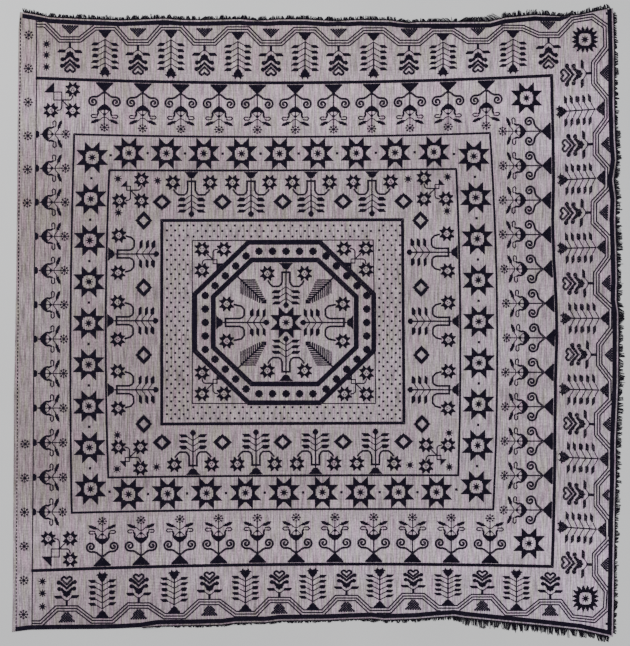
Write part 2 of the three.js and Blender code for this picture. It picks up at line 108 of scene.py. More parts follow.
# The dark band along three sides. It starts a little way in from the head edge.
SELVAGE = 6.0
BAND_WIDTH = 17.0
BAND_ROWS = 4
BAND_HEAD_START = 12.0

# Where the cloth's edge lies: the place along each side, and the edge.
EDGES = {
    "near": [
        (-1212, -1236), (-1180, -1232), (-1140, -1227), (-1020, -1225), (-860, -1224), (-780, -1222),
        (-700, -1217), (-620, -1210), (-500, -1209), (-372, -1206), (-316, -1198), (-196, -1197),
        (-140, -1190), (40, -1188), (140, -1184), (228, -1181), (276, -1187), (400, -1183), (500, -1174),
        (556, -1170), (604, -1178), (740, -1192), (900, -1208), (1060, -1226), (1140, -1244), (1192, -1256),
    ],
    "foot": [
        (-1256, 1192), (-1108, 1194), (-948, 1196), (-788, 1198), (-628, 1202), (-468, 1203), (-348, 1208),
        (-248, 1212), (-108, 1213), (44, 1212), (92, 1205), (172, 1208), (292, 1205), (412, 1201),
        (492, 1204), (572, 1193), (652, 1206), (732, 1200), (892, 1196), (1092, 1196), (1260, 1192),
    ],
    "far": [
        (-1180, 1244), (-1140, 1238), (-1100, 1230), (-1060, 1222), (-940, 1216), (-780, 1210),
        (-660, 1214), (-600, 1217), (-540, 1212), (-460, 1211), (-300, 1215), (-228, 1208), (-140, 1214),
        (-40, 1214), (80, 1207), (180, 1212), (300, 1210), (372, 1198), (420, 1203), (700, 1204),
        (760, 1220), (880, 1232), (980, 1226), (1060, 1232), (1140, 1250), (1192, 1260),
    ],
    "head": [
        (-1236, -1212), (-1108, -1209), (-708, -1207), (-308, -1204), (-68, -1200), (132, -1196),
        (492, -1192), (892, -1189), (1172, -1186), (1244, -1180),
    ],
}

# How wide the pale selvage shows outside the dark band: the place along the side, and the width.
# Where the width is below nought, the band runs off the edge.
SELVAGE_SHOWN = {
    "near": [(-1212, 1), (-700, 1), (-640, SELVAGE), (1192, SELVAGE)],
    "foot": [(-1256, SELVAGE), (1260, SELVAGE)],
    "far": [
        (-1180, SELVAGE), (-270, SELVAGE), (-228, 2), (-190, SELVAGE), (50, SELVAGE), (92, 2), (130, SELVAGE),
        (330, SELVAGE), (372, 2), (410, SELVAGE), (900, SELVAGE), (980, 2), (1030, -BAND_WIDTH),
        (1192, -BAND_WIDTH),
    ],
}

# The four square frames of pile: corner places, the outward bow of each side, and the width.
FRAMES = named_rows((
    "headX", "headNearX", "footX", "footNearX", "farY", "farFootY", "nearY", "nearFootY",
    "bowNear", "bowFoot", "bowFar", "bowHead", "width",
), {
    "outer": (-1115, -1133, 946, 949, 980, 990, -991, -974, -17, 0, -24, 0, 12),
    "second": (-963, -973, 700, 713, 755, 760, -759, -746, -7, 22, -13, 10, 8),
    "third": (-823, -827, 565, 573, 611, 616, -618, -609, -3, 12, -3, 12, 8),
    "fourth": (-613, -613, 350, 356, 410, 413, -404, -400, 0, 0, 0, 0, 12),
})
FRAME_STEPS = 24

# How far the outer frame's foot side is pulled outwards: the place along it, and the pull.
FOOT_PULL = [
    (-974, 0), (-820, 5), (-612, 10), (-404, 12), (-228, 14), (-56, 20), (100, 17), (264, 8), (432, 3),
    (560, 8), (720, 6), (864, 3), (990, 0),
]

# The thin frame round the octagon.
THIN_FRAME = [(-491, 330), (233, 332), (243, -322), (-491, -322)]

# The two octagons: centre, half sizes, half the length of their flat sides, and the width.
OCTAGONS = named_rows(("x", "y", "halfX", "halfY", "flatX", "flatY", "width"), {
    "outer": (-123, 2, 358, 321, 143, 113, 20),
    "inner": (-121, 4, 286, 248, 132, 101, 20),
})
OCTAGON_TRIM = 1.0
OCTAGON_GROWTH = 1.15

# Soft swells of the cloth: centre, height, and half spans along X and Y.
SWELLS = (
    (-640, 1215, 4, 110, 150), (-228, 1210, 3, 90, 120), (372, 1200, 5, 100, 150), (720, 1212, 5, 110, 160),
    (-650, -1214, 4, 120, 150), (-316, -1200, 3, 100, 130), (556, -1172, 5, 120, 170),
    (1200, 570, 4, 150, 110), (1208, 20, 6, 160, 130), (-1202, -300, 3, 90, 150),
)

# Faint ridges left by folding and handling: both ends, height and half width.
RIDGES = (
    (-1150, 420, -700, 520, 1.1, 45), (-1120, -620, -820, -500, 1.0, 40), (880, 1130, 1010, 760, 1.2, 40),
    (980, -300, 1120, -620, 1.1, 45), (-300, -1130, -180, -860, 1.2, 40), (420, -1120, 520, -820, 1.0, 45),
    (60, 1150, 140, 880, 1.1, 40), (-620, 1120, -560, 900, 1.0, 40), (-60, 700, 40, -700, 0.7, 60),
)

# The sides of a frame: the corners at both ends, the axis along the side, the way out, and the bow.
SIDES = named_rows(("from", "to", "along", "out", "bow"), {
    "near": (("headNearX", "nearY"), ("footNearX", "nearFootY"), 0, -1, "bowNear"),
    "foot": (("footNearX", "nearFootY"), ("footX", "farFootY"), 1, 1, "bowFoot"),
    "far": (("headX", "farY"), ("footX", "farFootY"), 0, 1, "bowFar"),
    "head": (("headNearX", "nearY"), ("headX", "farY"), 1, -1, "bowHead"),
})
BACKWARD_SIDES = ("far", "head")

# The three-line ribbon of the outer band turns inwards at each tulip and outwards at each tree.
# The tables give the place of each turn along its side, and the level of the ribbon's middle line there.
# A run has its side, the way along it, and the points that lead on from it.
RIBBON_TULIPS = {
    "far": (
        (-980, 1134), (-708, 1122), (-442, 1122), (-176, 1120), (94, 1120), (376, 1120), (652, 1128),
        (934, 1152),
    ),
    "foot": (
        (1000, 1117), (716, 1123), (442, 1115), (159, 1125), (-127, 1137), (-405, 1129), (-688, 1127),
        (-967, 1120),
    ),
    "near": (
        (941, -1116), (669, -1096), (393, -1092), (126, -1100), (-143, -1108), (-422, -1116),
        (-705, -1130), (-993, -1142),
    ),
}
RIBBON_TREES = {
    "far": (
        (-840, 1182), (-576, 1182), (-308, 1174), (-40, 1172), (234, 1170), (512, 1168), (792, 1180),
    ),
    "foot": (
        (858, 1168), (581, 1170), (303, 1172), (19, 1186), (-269, 1184), (-545, 1182), (-828, 1174),
    ),
    "near": (
        (806, -1160), (532, -1140), (259, -1150), (-9, -1158), (-278, -1164), (-563, -1172), (-851, -1190),
    ),
}
RIBBON_START = [(-1114, 1195), (-1080, 1195)]
RIBBON_RUNS = (
    ("far", 1, [(1030, 1212), (1110, 1225), (1164, 1186), (1166, 1104)]),
    ("foot", -1, [(1168, -1072), (1164, -1144), (1116, -1188), (1028, -1178)]),
    ("near", -1, [(-1096, -1202), (-1132, -1202)]),
)
RIBBON_FLAT = 40.0
RIBBON_SPACING = 10.6
RIBBON_LINE = 4.8

# What grows on each side of the outer band. The sizes of the hatched triangles are in loops.
HATCH_OUTWARD = {"far": 54.0, "foot": 54.0, "near": 52.0}
HATCH_SIZES = {"far": (8.0, 9.0), "foot": (7.8, 7.8), "near": (8.3, 10.5)}
PLANT_WIDTHS = {"far": 1.0, "foot": 1.15, "near": 1.0}
PLANT_FANS = {"far": 0.0, "foot": -0.000085, "near": 0.0}
TULIP_LENGTH = 150.0
TULIP_STRETCH = 1.02
TREE_LENGTH = 187.0
TREE_ROOM = 14.0
SUNS = ((1080, 1134), (1082, -1102))
BAND_END_STARS = (
    (-1074, 1116), (-1074, 1072), (-1074, 1024), (-1090, -1034), (-1090, -1081), (-1090, -1135),
)
BAND_CORNER_DOTS = ((1168, 1238), (1167, -1203))

# The head strip: the line that closes the pattern, the row of stitches, and the line of rosettes.
HEAD_LINE = [(-1132, -1208), (-1124, 0), (-1114, 960), (-1114, 1212)]
STITCH_LINE = [(-1196, -1212), (-1188, 0), (-1178, 1216)]
STITCH_PITCH = 14.8
ROSETTE_LINE = [(-1166, -1166), (-1145, 1152)]
ROSETTE_GROUPS = ((-1166, -484), (480, 1152))
ROSETTES_IN_GROUP = 6

# Rows of plants: how many, and the first and last place along the side.
# A scroll plant's own numbers are the middle of its scrolls and the foot of its carnation, in loops.
SCROLL_PLANTS = {"far": (11, -842, 685), "near": (11, -851, 700), "foot": (12, -748, 767)}
SCROLLS = {"far": (11.2, 20.0, 21.8), "near": (11.2, 20.0, 21.8), "foot": (9.4, 22.2, 25.0)}
SCROLL_CARNATION = 0.905
HEAD_CARNATION = 0.93
HEAD_PLANTS = (12, -756, 755)
HEAD_PLANT_PULL = 5.0
CORNER_STARS = ((846, 900), (856, -882))
HEAD_CORNER_SPRAYS = ((-1013, 892, 1, -1), (-1023, -904, 1, 1))

# Rows of stars: the first and last place along the side, the pull on the middle ones, and a shift across.
STARS_IN_ROW = 9
STAR_ROWS = named_rows(("first", "last", "pull", "shift"), {
    "near": (-746, 486, 6, 0),
    "foot": (-655, 667, 0, 1),
    "far": (-744, 476, -8, 0),
    "head": (-664, 662, 0, 2),
})

# Flowering trees: the knee of the arms, the first leaf, the step between leaves, and the bud, in loops.
FLOWERING_TREES = {
    "bandShort": (19.0, 28.0, 5.8, 42.5),
    "bandTall": (22.0, 33.0, 6.3, 48.5),
    "octagonShort": (19.5, 29.0, 5.8, 42.5),
    "octagonTall": (24.0, 36.0, 6.2, 50.5),
}
INNER_TREES = {
    "far": (-494, -256, -16, 228), "near": (-488, -236, 2, 242),
    "head": (276, 9, -267), "foot": (283, 7, -267),
}
DIAMONDS = {
    "far": (evenly(5, -612, 354), 74), "near": (evenly(5, -612, 354), 74),
    "head": ((-404, -128, 142, 410), 72), "foot": ((-404, -128, 142, 410), 72),
}
INNER_SPRAYS = ((-738, 531, 1, -1), (480, 538, -1, -1), (-742, -538, 1, 1), (488, -530, -1, 1))
SPRAY_STARS = ((-12.5, -11.5), (27, -9.5), (-12, 22.5))

# The powder of dots: rows that close up towards the near side, in columns at the head and the foot.
POWDER_ROWS = 43
POWDER_TOP = 390.0
POWDER_STEP = 19.8
POWDER_SQUEEZE = 0.0338
POWDER_PITCH = 33.0
POWDER_COLUMNS = (-592, 257)
POWDER_BETWEEN = (-486, 240)
POWDER_BETWEEN_LEVELS = (390, 368, 346, -337, -360, -382)

MEDALLION_CENTRE = (-116, 2)
OCTAGON_DOT_STEP = 54.0
OCTAGON_DOT_RING = (323, 285)
OCTAGON_DOT_SLANT = ((160, 284), (266, 147))
LEAF_OUT = (180, 170)
OCTAGON_SPRAYS = ((-408, 253, -1, 1), (160, 256, 1, 1), (-408, -241, -1, -1), (162, -242, 1, -1))

# How far the fringe reaches past the cloth's edge: the place along the side, and the reach.
FRINGE_REACH = {
    "near": [(-700, 10), (-400, 14), (200, 15), (520, 22), (640, 42), (900, 46), (1192, 40)],
    "foot": [(-1256, 20), (-700, 27), (-200, 31), (400, 31), (900, 25), (1260, 21)],
    "far": [(-1180, 20), (-800, 25), (0, 21), (500, 23), (800, 29), (1192, 25)],
}
FRINGE_START = {"near": -690, "foot": -1240, "far": -1166}
FRINGE_END = {"near": 1178, "foot": 1244, "far": 1178}
HEADING_STEP = 8.0
HEADING_REACH = 4.0
HEADING_SECTION = ((0.3, 0.1), (HEADING_REACH, 0.1), (HEADING_REACH, 1.3), (0.3, 1.9))
STRAND_PITCH = 2.6
STRAND_RADIUS = 1.5
STRAND_TAPER = 0.4
STRAND_STATIONS = 4
STRAND_CORNERS = (0, 90, 180, 270)
STRAND_SCATTER = 1.0
STRAND_LEAN = 1.2
STRAND_BEND = 2.0
STRAND_LIFT = 0.4
STRAND_LIFT_SPREAD = 1.0
STRAND_REACH = (0.8, 1.0)
STRANDS_IN_TUFT = 6
TUFT_GATHER = (0.1, 0.6)
TUFT_REACH = (0.62, 1.0)
TUFT_LEAN = 5.0

# How matt everything is, and the strength and depth in metres of the fine reliefs.
COTTON_ROUGHNESS = 0.95
GROUND_SHEEN = 0.15
FLOOR_ROUGHNESS = 0.9
SPECULAR = 0.12
WEAVE_BUMP = (0.5, 0.0012)
TWIST_BUMP = (0.4, 0.0006)

# The room: half the floor in metres, each lamp's name, place, size and power, and the soft light all round.
FLOOR_HALF = 9.0
LAMPS = (("key", (-3.2, 3.4, 4.6), 2.2, 330), ("fill", (4.0, -3.0, 5.0), 3.2, 160))
ROOM_COLOUR = (0.95, 0.96, 1.0, 1.0)
ROOM_STRENGTH = 0.55

# The picture: the lens and the sensor, and how much of the floor the picture's height takes in, in metres.
CAMERA_LENS = 100.0
CAMERA_SENSOR = 36.0
PICTURE_HEIGHT = 2.584

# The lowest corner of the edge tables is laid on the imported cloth's lowest corner.
TABLE_LOW = [min(across for _, across in EDGES[side]) for side in ("head", "near")]
CLOTH_LOW = np.array(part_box("coverlet")[0]) / MM
SHIFT = np.array([*(CLOTH_LOW[:2] - TABLE_LOW), 0.0])


def read_table(table, along):
    places, values = zip(*table)
    return np.interp(along, places, values)


def on_side(side, along, across):
    """X and Y of a place that is given along and across one side."""
    return (along, across) if SIDES[side]["along"] == 0 else (across, along)


def segment_distance(x, y, start, end):
    along = np.subtract(end, start)
    reach = max(float(along @ along), 1e-9)
    t = np.clip(((x - start[0]) * along[0] + (y - start[1]) * along[1]) / reach, 0, 1)
    return np.hypot(x - start[0] - t * along[0], y - start[1] - t * along[1])


def inside_outline(x, y, points):
    inside = np.zeros(x.shape, bool)
    for (x0, y0), (x1, y1) in zip(points, np.roll(points, -1, axis=0)):
        if y0 == y1:
            continue
        crosses = (y0 <= y) != (y1 <= y)
        inside ^= crosses & (x < x0 + (y - y0) * (x1 - x0) / (y1 - y0))
    return inside


def hump(away):
    """A soft rise from nought at a distance of one to one in its middle."""
    return np.cos(np.minimum(away, 1) * math.pi / 2) ** 2


def lift(x, y):
    """Height of the cloth's underside above the floor, in millimetres."""
    total = np.zeros(np.broadcast(x, y).shape)
    for swell_x, swell_y, height, span_x, span_y in SWELLS:
        total += height * hump(np.hypot((x - swell_x) / span_x, (y - swell_y) / span_y))
    for start_x, start_y, end_x, end_y, height, half in RIDGES:
        total += height * hump(segment_distance(x, y, (start_x, start_y), (end_x, end_y)) / half)
    return total


def offset_path(path, distance):
    """The same path moved sideways, with sharp corners. It is closed where it ends at its own start."""
    points = np.array(path, float)
    if distance == 0:
        return points
    steps = np.diff(points, axis=0)
    steps /= np.linalg.norm(steps, axis=1)[:, None]
    normals = np.stack([-steps[:, 1], steps[:, 0]], 1)
    closed = np.allclose(points[0], points[-1])
    before = np.vstack([normals[-1:] if closed else normals[:1], normals])
    after = np.vstack([normals, normals[:1] if closed else normals[-1:]])
    joint = before + after
    return points + joint * distance * 2 / np.sum(joint * joint, axis=1)[:, None]


def rows_along(path, count, pitch, step):
    """Places in parallel rows along a path."""
    rows = []
    for k in range(count):
        row = offset_path(path, (k - (count - 1) / 2) * pitch)
        walked = np.concatenate([[0], np.cumsum(np.linalg.norm(np.diff(row, axis=0), axis=1))])
        stops = np.linspace(0, walked[-1], round(walked[-1] / step) + 1)
        rows.append(np.stack([np.interp(stops, walked, row[:, axis]) for axis in (0, 1)], 1))
    return np.vstack(rows)


def flipped(points):
    return [(-u, v) for u, v in points]


def whole(half_outline):
    """A symmetrical outline from its right half."""
    return list(half_outline) + flipped(reversed(half_outline))


def turned(quarter):
    """An outline with four equal quarters."""
    outline = []
    for c, s in ((1, 0), (0, 1), (-1, 0), (0, -1)):
        outline += [(u * c - v * s, u * s + v * c) for u, v in quarter]
    return outline


def rounded_square(half, squareness=2.0, steps=24):
    """A circle, or a square with round corners where the squareness is over two."""
    outline = []
    for k in range(steps):
        angle = 2 * math.pi * k / steps
        c, s = math.cos(angle), math.sin(angle)
        radius = half / (abs(c) ** squareness + abs(s) ** squareness) ** (1 / squareness)
        outline.append((radius * c, radius * s))
    return outline


class Motif:
    """Loops of pile in columns u, v and size, in loops: u runs across, and v away from the base."""

    def __init__(self):
        self.loops = np.zeros((0, 3))

    def add(self, places, size):
        self.loops = np.vstack([self.loops, np.column_stack([places, np.full(len(places), size)])])

    def line(self, points, width=1.0, both=False):
        count = max(1, round(width))
        size = width / count
        for path in (points, flipped(points))[:1 + both]:
            self.add(rows_along(path, count, size, size), size)

    def fill(self, outline, both=False, cell=1.0, every_other=False):
        for points in (outline, flipped(outline))[:1 + both]:
            points = np.array(points, float)
            low, high = np.floor(points.min(0) / cell), np.ceil(points.max(0) / cell)
            u, v = np.meshgrid(np.arange(low[0], high[0] + 1), np.arange(low[1], high[1] + 1))
            found = inside_outline(u * cell, v * cell, points)
            for start, end in zip(points, np.roll(points, -1, axis=0)):
                found |= segment_distance(u * cell, v * cell, start, end) < FILL_GROWTH * cell
            if every_other:
                found &= (u + v) % 2 == 0
            self.add(np.stack([u[found], v[found]], 1) * cell, cell * (HATCH_LOOP if every_other else 1))

    def clear(self, outline):
        u, v, _ = self.loops.T
        self.loops = self.loops[~inside_outline(u, v, outline)]

    def put(self, other, u, v, stretch=1.0):
        self.loops = np.vstack([self.loops, other.loops * (1, stretch, 1) + (u, v, 0)])


class Spot:
    """Where a motif stands on the cloth, in millimetres, and which way it grows."""

    def __init__(self, x, y, across=(1, 0), inward=(0, 1), widen=1.0, lengthen=1.0):
        self.base = np.array([x, y], float)
        self.across = np.array(across, float) * LOOP_PITCH * widen
        self.inward = np.array(inward, float) * LOOP_PITCH * lengthen


class Pile:
    """The loops of one part of the pattern, in columns x, y and size. Places are in millimetres."""

    def __init__(self):
        self.parts = []

    def stamp(self, motif, spot):
        u, v, size = motif.loops.T
        places = spot.base + np.outer(u, spot.across) + np.outer(v, spot.inward)
        self.parts.append(np.column_stack([places, size]))

    def stamp_all(self, motif, places):
        for x, y in places:
            self.stamp(motif, Spot(x, y))

    def band(self, path, width, growth=1.0):
        """Rows of loops that fill a width along a path. Slanting rows need larger loops to close up."""
        count = max(1, round(width / LOOP_PITCH))
        pitch = width / count
        places = rows_along(path, count, pitch, LOOP_PITCH)
        self.parts.append(np.column_stack([places, np.full(len(places), growth * pitch / LOOP_PITCH)]))


def turned_spot(x, y, turn_x, turn_y):
    """A spot where a motif may be mirrored both ways."""
    return Spot(x, y, (turn_x, 0), (0, turn_y))


def dot(radius, cell=1.0):
    plan = Motif()
    plan.fill(rounded_square(radius), cell=cell)
    return plan


def speck():
    """The smallest dot: four loops."""
    plan = Motif()
    plan.add(np.array(turned([(0.5, 0.5)])), 1.0)
    return plan


def mini_star():
    """Eight short rays."""
    plan = Motif()
    plan.fill(rounded_square(1.8), cell=0.8)
    for u, v in ((3.4, 0), (2.4, 2.4), (0, 3.4), (-2.4, 2.4)):
        plan.line([(-u, -v), (u, v)], 0.9)
    return plan


def eight_point_star():
    """A broad ring with eight points in four pairs, and a small star in its middle."""
    plan = Motif()
    tip, shoulder, notch = 15.8, 7.6, 8.8
    plan.fill(turned([(shoulder, -tip), (shoulder, -shoulder), (tip, -shoulder), (notch, 0)]))
    plan.clear(rounded_square(6.4, 3.2))
    plan.put(mini_star(), 0, 0)
    return plan


def star_flower():
    """A ring with four pairs of thin spikes, and a dot in its middle."""
    plan = Motif()
    plan.fill(turned([(3.3, -7.9), (4.1, -4.1), (7.9, -3.3), (4.5, 0)]), cell=0.7)
    plan.clear(rounded_square(2.9))
    for u, v in ((-1.1, 0.7), (1.1, 0.8), (0, -1.1)):
        plan.add(np.array([(u, v)]), 1.0)
    return plan


def diamond():
    plan = Motif()
    plan.fill([(9, 0), (0, 8.6), (-9, 0), (0, -8.6)])
    plan.clear([(4.2, 0), (0, 4.2), (-4.2, 0), (0, -4.2)])
    return plan


def rosette():
    """A dark middle with eight rays that end in dots."""
    plan = Motif()
    plan.fill(rounded_square(1.5), cell=0.8)
    for u, v in turned([(3.7, 0), (2.65, 2.65)]):
        plan.line([(0, 0), (u, v)], 0.7)
        plan.put(dot(0.8, 0.8), u, v)
    return plan


def leaf_pair(plan, v, stalk, inner, outer):
    """A narrow leaf on each side of a stem, on a stalk that leaves the stem nearer to its base."""
    half = 1.45
    blade = [
        (inner - 0.2, v - half * 0.6), (inner + 1.2, v - half), (outer - 1.9, v - half),
        (outer + 0.4, v + half * 0.9), (outer - 0.8, v + half), (inner + 1.4, v + half),
    ]
    plan.fill(blade, both=True, cell=0.8)
    plan.line([(0, v - stalk), (2.3, v - stalk + 1.6), (inner + 0.6, v - half * 0.4)], 0.9, both=True)


def flowering_tree(kind):
    """A pot, a straight stem with three pairs of leaves and a bud, and a star flower on either side."""
    plan = Motif()
    knee, first_leaf, leaf_step, bud = FLOWERING_TREES[kind]
    plan.fill(whole([(0, 7.6), (1.4, 6.6), (7, 0.6)]), cell=0.9)
    plan.line([(0, 7), (0, bud)], 1.35)
    plan.line([(-4.4, 9.8), (4.4, 9.8)], 1.9)
    arm = [
        (3.9, 10.4), (3.9, knee), (5.3, knee + 3), (7.4, knee + 4.4), (13.2, knee + 4.4), (16.4, knee + 1.6),
        (17.9, 18.2),
    ]
    plan.line(arm, 1.8, both=True)
    for side in (-1, 1):
        plan.put(star_flower(), side * 18.6, 10.9)
    for k in range(3):
        leaf_pair(plan, first_leaf + k * leaf_step, 4.8, 5.4, 13.6)
    plan.fill(whole([(0, bud - 2.8), (2.3, bud - 1.5), (2.7, bud), (1.9, bud + 2), (0, bud + 3)]), cell=0.8)
    return plan


def leafy_tree():
    """A pot, a stem with five pairs of leaves, and a broad five-pointed crown."""
    plan = Motif()
    plan.fill(whole([(0, 8.4), (1, 7.2), (6.2, 1.2), (6.2, 0.6)]), cell=0.8)
    plan.line([(0, 7), (0, 38)], 1.2)
    for k in range(5):
        leaf_pair(plan, 13.9 + 5.85 * k, 4.8, 6.2, 13.2)
    crown = [
        (0, 35.8), (2, 38), (4.2, 41), (4.4, 42.4), (6, 43.6), (4, 44.2), (2.8, 46.8), (1.4, 44.9), (0, 44.6),
    ]
    plan.fill(whole(crown), cell=0.8)
    return plan


def tulip():
    """A short thick stem, two leaves, and three nested chevrons that open away from the ribbon."""
    plan = Motif()
    plan.line([(0, 0.8), (0, 5.4)], 2.4)
    leaf_pair(plan, 9.2, 4.6, 4.2, 12.2)
    plan.fill(whole([(0, 8.8), (3, 11), (3.5, 13.2), (6.6, 16.9), (5.3, 18.6), (0, 14.4)]), cell=0.8)
    plan.fill(whole([(0, 16.4), (7.4, 23.4), (6, 25.2), (0, 19.5)]), cell=0.8)
    for side in (-1, 1):
        plan.put(dot(2.2, 0.85), side * 7.4, 17.6)
        plan.put(dot(2.2, 0.85), side * 8.0, 24.2)
    plan.line([(0, 22.0), (5, 27.0), (4.8, 28.7), (3.1, 30), (1.8, 29.6), (0, 27.7)], 2.1, both=True)
    return plan


def hatched_triangle(half, depth):
    plan = Motif()
    plan.fill([(-half, 0), (half, 0), (0, depth)], cell=HATCH_CELL, every_other=True)
    return plan


def carnation():
    """A bud with sepals that turn outwards, a fan of stamens, a pair of leaves, and a rosette at the tip."""
    plan = Motif()
    plan.fill(whole([(0, 0), (2.8, 1.8), (5.2, 4.2), (6.4, 6.8), (5, 7.6), (2.4, 6.8), (0, 6.4)]), cell=0.8)
    plan.line([(5.8, 6.2), (6.6, 8.6), (6.2, 10.3), (6.9, 12.2), (7.6, 13)], 1.9, both=True)
    curl = [(7.2, 12.5), (12.4, 12.2), (13.4, 13.8), (12.2, 15.6), (8, 15.4), (7.2, 13.8)]
    plan.line(curl, 1.15, both=True)
    plan.line([(0, 7), (0, 23)], 0.85)
    plan.line([(0, 13.2), (4.6, 8)], 0.75, both=True)
    plan.put(dot(1.4, 0.85), 0, 11.6)
    plan.line([(0, 14.6), (2, 15.4), (5.2, 18.4)], 0.85, both=True)
    leaf = [(4.6, 17.8), (7.2, 17), (12, 19), (14, 21.9), (10.8, 21.6), (6.8, 20.2)]
    plan.fill(leaf, both=True, cell=0.8)
    plan.put(rosette(), 0, 26.1)
    return plan


def scroll_plant(scroll_u, scroll_v, flower):
    """A broad pot, a pair of scrolls, and a carnation above them."""
    plan = Motif()
    plan.fill(whole([(0, 9.8), (1.2, 8.6), (8.4, 1.3), (8.4, 0.9)]), cell=0.9)
    turns, start_radius, end_radius, steps = 1.5, 5.0, 0.7, 36
    arm = [(0, 10)]
    for share_u, share_v in ((0.27, 0.59), (0.5, 0.7), (0.72, 0.75)):
        arm.append((scroll_u * share_u, scroll_v * share_v))
    for k in range(steps + 1):
        angle = k / steps * turns * 2 * math.pi
        radius = mix(start_radius, end_radius, k / steps)
        arm.append((scroll_u + radius * math.sin(angle), scroll_v - radius * math.cos(angle)))
    plan.line(arm, 2.0, both=True)
    plan.line([(0, 11), (0, flower)], 1.2)
    plan.put(carnation(), 0, flower, SCROLL_CARNATION)
    return plan


def head_plant():
    """The scroll plant's flower on a small pot, without the scrolls."""
    plan = Motif()
    plan.fill(rounded_square(3.6, 3))
    plan.clear([(-9, -9), (9, -9), (9, 0.6), (-9, 0.6)])
    plan.line([(0, 3.5), (0, 6)], 1.2)
    plan.put(carnation(), 0, 5.6, HEAD_CARNATION)
    return plan


def corner_spray(box, pot):
    """Three star flowers on bent twigs, which grow from the corner of a small box with a pot outside it."""
    plan = Motif()
    plan.line([(0, 0), (-box, 0), (-box, -box), (0, -box), (0, 0)])
    plan.fill([(-box, -box), (-box - pot, -box), (-box, -box - pot)])
    for points in (
        [(0, 0), (8.4, 0), (10.2, -1.4), (10.9, -4.2)],
        [(0, 0), (0, 8), (-1.4, 9.8), (-4.4, 10.4)],
        [(0, 0), (6.4, 6.4)],
    ):
        plan.line(points, 1.2)
    for u, v in ((11, -10.6), (-11, 10.4), (11, 10.6)):
        plan.put(star_flower(), u, v)
    return plan


def feather_leaf():
    """A leaf with a slanting midrib. Its thin rows of loops run across on one side and along on the other."""
    plan = Motif()
    for k in range(10):
        start = 2.05 * k
        plan.line([(start, start), (14 + start * 0.5, start)], 1.25)
        plan.line([(start, start), (start, 13 + start * 0.5)], 1.25)
    plan.line([(-3, -3), (22, 21)], 1.6)
    plan.fill([(20.5, 19), (25, 19.5), (25.6, 23.4), (21.5, 23.4), (19.5, 20.5)])
    return plan


def sun():
    """A rounded square ring with sixteen spikes, and a small star in its middle."""
    base, tips = rounded_square(9.3, 3.2, 32), rounded_square(13.4, 3.2, 32)
    plan = Motif()
    plan.fill([tips[k] if k % 2 else base[k] for k in range(32)], cell=0.8)
    plan.clear(rounded_square(6.3, 2.8))
    plan.put(mini_star(), 0, 0)
    return plan


def frame_line(frame, side, along):
    """Where a frame's side lies across the cloth, at a place along it."""
    axis = SIDES[side]["along"]
    start = [frame[column] for column in SIDES[side]["from"]]
    end = [frame[column] for column in SIDES[side]["to"]]
    t = (along - start[axis]) / (end[axis] - start[axis])
    pull = frame[SIDES[side]["bow"]] * 4 * t * (1 - t)
    if frame is FRAMES["outer"] and side == "foot":
        pull += read_table(FOOT_PULL, along)
    return mix(start[1 - axis], end[1 - axis], t) + SIDES[side]["out"] * pull


def side_spot(side, along, across, slope=0.0, fan=0.0, widen=1.0, lengthen=1.0):
    """A motif's spot on one side of the cloth. It grows inwards, and the fan leans it along the side."""
    if SIDES[side]["along"] == 0:
        return Spot(along, across, (1, slope), (fan, -SIDES[side]["out"]), widen, lengthen)
    return Spot(across, along, (slope, 1), (-SIDES[side]["out"], fan), widen, lengthen)


def frame_spot(frame_name, side, along):
    """A spot on the inner edge of a frame's side, turned with that side."""
    frame = FRAMES[frame_name]
    across = frame_line(frame, side, along) - SIDES[side]["out"] * frame["width"] / 2
    rise = frame_line(frame, side, along + 1) - frame_line(frame, side, along)
    return side_spot(side, along, across, rise)


def frame_path(name, sides):
    """The middle line of a frame, side by side in the order of the names."""
    frame = FRAMES[name]
    path = []
    for side in sides:
        axis = SIDES[side]["along"]
        places = evenly(FRAME_STEPS + 1, frame[SIDES[side]["from"][axis]], frame[SIDES[side]["to"][axis]])
        points = [on_side(side, along, frame_line(frame, side, along)) for along in places]
        if side in BACKWARD_SIDES:
            points.reverse()
        path += points if not path else points[1:]
    return path


def octagon_corners(octagon):
    half_x, half_y, flat_x, flat_y = (octagon[column] for column in ("halfX", "halfY", "flatX", "flatY"))
    right_half = [(flat_x, -half_y), (half_x, -flat_y), (half_x, flat_y), (flat_x, half_y)]
    return [(octagon["x"] + x, octagon["y"] + y) for x, y in whole(right_half)]


def border(pile):
    """The dark band inside the selvage on three sides, and the outer frame, which stops at the head strip."""
    pitch = BAND_WIDTH / BAND_ROWS
    for side, shown in SELVAGE_SHOWN.items():
        table = EDGES[side]
        along = np.arange(table[0][0], table[-1][0], LOOP_PITCH)
        for k in range(BAND_ROWS):
            inset = read_table(shown, along) + (k + 0.5) * pitch
            x, y = on_side(side, along, read_table(table, along) - SIDES[side]["out"] * inset)
            inside = (x - read_table(EDGES["head"], y) > BAND_HEAD_START) & (inset > 0)
            for other, other_shown in SELVAGE_SHOWN.items():
                place, level = on_side(other, x, y)
                room = SIDES[other]["out"] * (read_table(EDGES[other], place) - level)
                inside &= room > np.maximum(read_table(other_shown, place), 1)
            pile.parts.append(np.column_stack([x, y, np.full(len(x), pitch / LOOP_PITCH)])[inside])
    pile.band(frame_path("outer", ("near", "foot", "far")), FRAMES["outer"]["width"])


def ribbon_turns(side):
    """The level stretches of the ribbon, tulips and trees by turns."""
    turns = list(RIBBON_TULIPS[side])
    for k, tree_turn in enumerate(RIBBON_TREES[side]):
        turns.insert(2 * k + 1, tree_turn)
    return turns


